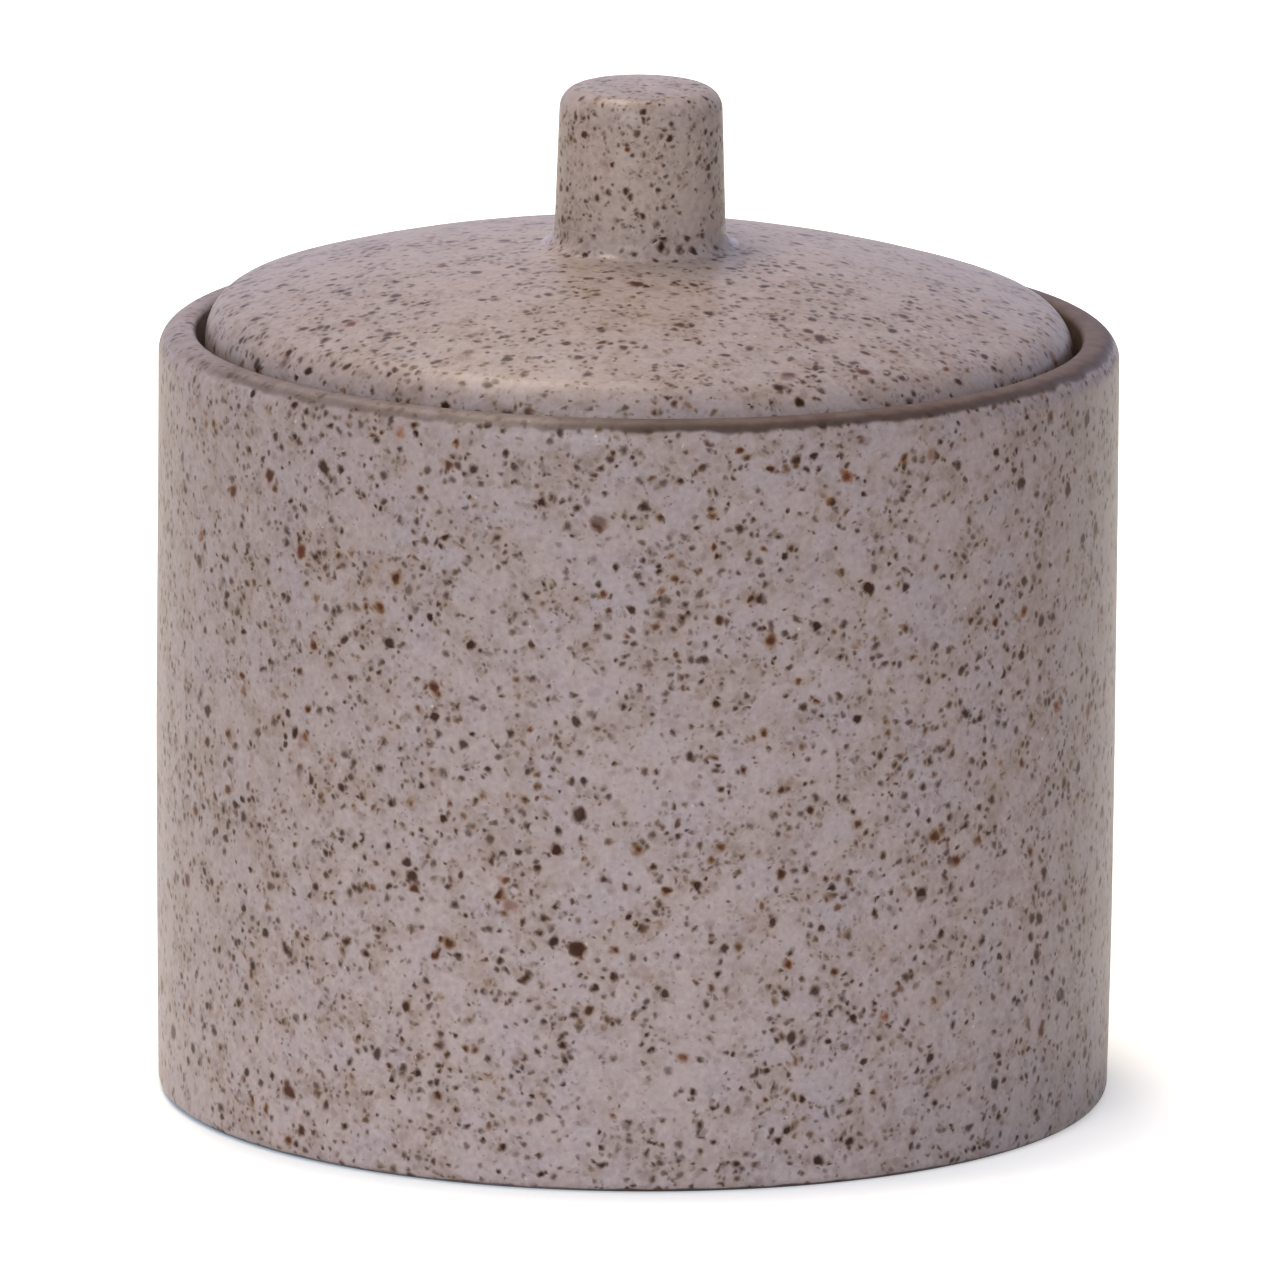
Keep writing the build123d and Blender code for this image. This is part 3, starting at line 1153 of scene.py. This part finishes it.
@dataclass
class Studio:
    """White studio with a long lens. Sizes are in metres and angles in degrees.

    Attributes:
        distance: Camera to the middle of the object.
        elevation: Camera above the horizon.
        roll: How far the camera leans to its left.
        aim: Point that the camera looks at.
        lens: Focal length in millimetres.
        view_depth: How far the camera sees.
        floor_side: Side of the floor.
        ambient: Strength of the light from all sides.
        paper: Colour of the floor.
        left_white: Its own light at the object's left, weaker near the object, which paints shade round the
            base.
            It is bluer than white to make up for the warm lamps.
        right_white: The same at the object's right, where less light falls.
        far_white: The same away from the object.
        shadow_start: Distance from the axis from which the floor's own light grows, so that shadow and
            painted shade fade.
        shadow_end: Distance by which it is gone.
        mirrored: Share of that white that shows in the glaze, so that its edges don't wash out.
        backdrop: Share of the white backdrop behind the object that shows in the glaze, cut off at 1.
        backdrop_edge: How far behind a direction points, from -1 to 1, where the backdrop is reached.
        room: The same share for the dark room behind the camera.
        room_edge: The same direction where the room begins.
        sky: Colour of the light from all sides, which the camera itself sees as white.
        softboxes: Lamps.
    """

    distance: float = 3.0
    elevation: float = 12.27
    roll: float = 0.49
    aim: tuple[float, float, float] = (-0.000155, 0.0, 0.04571)
    lens: float = 859.8
    view_depth: float = 20.0
    floor_side: float = 4.0
    ambient: float = 0.12
    paper: str = "#fafafa"
    left_white: str = "#506c7e"
    right_white: str = "#b5b5b5"
    far_white: str = "#e1e0dd"
    shadow_start: float = 0.046
    shadow_end: float = 0.061
    mirrored: float = 0.4
    backdrop: float = 1.1
    backdrop_edge: float = 0.5
    room: float = 0.05
    room_edge: float = -0.3
    sky: str = "#e3e4ff"
    # Name, azimuth, elevation, distance, width, length, power, colour.
    softboxes: tuple[Softbox, ...] = (
        Softbox("overhead_strip", -115, 71, 1.2, 1.0, 0.16, 8.3, "#fff0dc"),
        Softbox("front_left_softbox", -13, 25, 1.5, 1.0, 1.0, 13.1, "#ffffff"),
        Softbox("right_softbox", 60, 20, 1.5, 1.0, 1.0, 1.7, "#fff4f1"),
        Softbox("back_softbox", 199, 57, 1.2, 0.4, 0.4, 2.7, "#ffe8c6"),
    )

    def build(self) -> None:
        """Make the floor, the light and the camera."""
        bpy.context.scene.view_settings.view_transform = "Standard"
        self._lay_floor()
        self._light()
        self._aim_camera()

    def _seen_share(self, tree: NodeTree, mirrored: float | NodeSocket) -> NodeSocket:
        """Socket that is 1 for what the camera sees, and a share of it for what it sees in a reflection.

        Args:
            tree: Tree of the material or the world.
            mirrored: Share that shows in a reflection, or the socket that gives it.

        Returns:
            The socket.
        """
        path = add(tree, "ShaderNodeLightPath").outputs
        mirror = add(tree, "ShaderNodeMath", {0: path["Is Glossy Ray"], 1: mirrored}, operation="MULTIPLY")
        straight = add(tree, "ShaderNodeMath", {
            0: path["Is Camera Ray"], 1: mirror.outputs[0],
        }, operation="MAXIMUM")
        seen = add(tree, "ShaderNodeMath", {
            0: straight.outputs[0], 1: path["Is Transmission Ray"],
        }, operation="MAXIMUM")
        return seen.outputs[0]

    def _lay_floor(self) -> None:
        """Lay a white floor that keeps the object's shadow, with less light of its own near it: painted
        shade.
        """
        material = bpy.data.materials.new("white_studio_paper")
        material.use_nodes = True
        tree = material.node_tree
        tree.nodes.clear()
        paper = add(tree, "ShaderNodeBsdfDiffuse", {"Color": linear(self.paper)})
        place = add(tree, "ShaderNodeTexCoord").outputs["Object"]
        # The floor's own light is weaker near the object, which paints shade round the base on top of its
        # shadow.
        across = add(tree, "ShaderNodeSeparateXYZ", {0: place}).outputs["X"]
        side = add(tree, "ShaderNodeMapRange", {
            "Value": across, "From Min": -self.shadow_start, "From Max": self.shadow_start,
        })
        near = add(tree, "ShaderNodeMix", {
            0: side.outputs[0], 6: linear(self.left_white), 7: linear(self.right_white),
        }, data_type="RGBA")
        away = add(tree, "ShaderNodeVectorMath", {0: place}, operation="LENGTH")
        fading = add(tree, "ShaderNodeMapRange", {
            "Value": away.outputs["Value"], "From Min": self.shadow_start, "From Max": self.shadow_end,
        }, interpolation_type="SMOOTHSTEP")
        white = add(tree, "ShaderNodeMix", {
            0: fading.outputs[0], 6: near.outputs[2], 7: linear(self.far_white),
        }, data_type="RGBA")
        glow = add(tree, "ShaderNodeEmission", {
            "Color": white.outputs[2], "Strength": self._seen_share(tree, self.mirrored),
        })
        both = add(tree, "ShaderNodeAddShader", {0: paper.outputs[0], 1: glow.outputs[0]})
        add(tree, "ShaderNodeOutputMaterial", {"Surface": both.outputs[0]})

        half = self.floor_side / 2
        corners = [(-half, -half, 0), (half, -half, 0), (half, half, 0), (-half, half, 0)]
        mesh = bpy.data.meshes.new("studio_floor")
        mesh.from_pydata(corners, [], [(0, 1, 2, 3)])
        mesh.materials.append(material)
        floor = bpy.data.objects.new("studio_floor", mesh)
        bpy.context.scene.collection.objects.link(floor)

    def _light(self) -> None:
        """Light the object from its softboxes, and a little from all sides."""
        world = bpy.data.worlds.new("white_studio")
        world.use_nodes = True
        tree = world.node_tree
        tree.nodes.clear()
        # A white backdrop stands behind the object, and the room behind the camera is dark.
        towards = add(tree, "ShaderNodeTexCoord").outputs["Generated"]
        behind = add(tree, "ShaderNodeSeparateXYZ", {0: towards}).outputs["Y"]
        backdrop = add(tree, "ShaderNodeMapRange", {
            "Value": behind, "From Min": self.room_edge, "From Max": self.backdrop_edge,
            "To Min": self.room, "To Max": self.backdrop,
        }, interpolation_type="SMOOTHSTEP")
        strength = add(tree, "ShaderNodeMapRange", {
            "Value": self._seen_share(tree, backdrop.outputs[0]), "To Min": self.ambient,
        })
        straight = add(tree, "ShaderNodeLightPath").outputs["Is Camera Ray"]
        colour = add(tree, "ShaderNodeMix", {
            0: straight, 6: linear(self.sky), 7: linear("#ffffff"),
        }, data_type="RGBA")
        sky = add(tree, "ShaderNodeBackground", {
            "Color": colour.outputs[2], "Strength": strength.outputs[0],
        })
        add(tree, "ShaderNodeOutputWorld", {"Surface": sky.outputs[0]})
        bpy.context.scene.world = world
        for softbox in self.softboxes:
            softbox.hang(Vector(self.aim))

    def _aim_camera(self) -> None:
        """Make the camera at the photograph's viewing angle."""
        camera = bpy.data.cameras.new("studio_camera")
        camera.lens = self.lens
        camera.clip_end = self.view_depth
        holder = bpy.data.objects.new("studio_camera", camera)
        tilt = math.radians(self.elevation)
        back = Vector((0, -math.cos(tilt), math.sin(tilt)))
        holder.location = Vector(self.aim) + back * self.distance
        holder.rotation_mode = "QUATERNION"
        leaning = Quaternion((0, 0, 1), math.radians(self.roll))
        holder.rotation_quaternion = (-back).to_track_quat("-Z", "Y") @ leaning
        bpy.context.scene.collection.objects.link(holder)
        bpy.context.scene.camera = holder


def main() -> None:
    """Build the jar, its lid and its knob, and the studio around them."""
    logging.basicConfig(level=logging.INFO, format="%(name)s: %(message)s")
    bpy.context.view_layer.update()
    wheel = Wheel()
    glaze = SpeckledGlaze().material()
    jar = Jar()
    for part in (jar, Lid(jar), Knob()):
        piece = part.build(wheel, glaze)
        log.info("%s: %d faces", piece.name, len(piece.data.polygons))
    Studio().build()


if __name__ == "__main__":
    main()
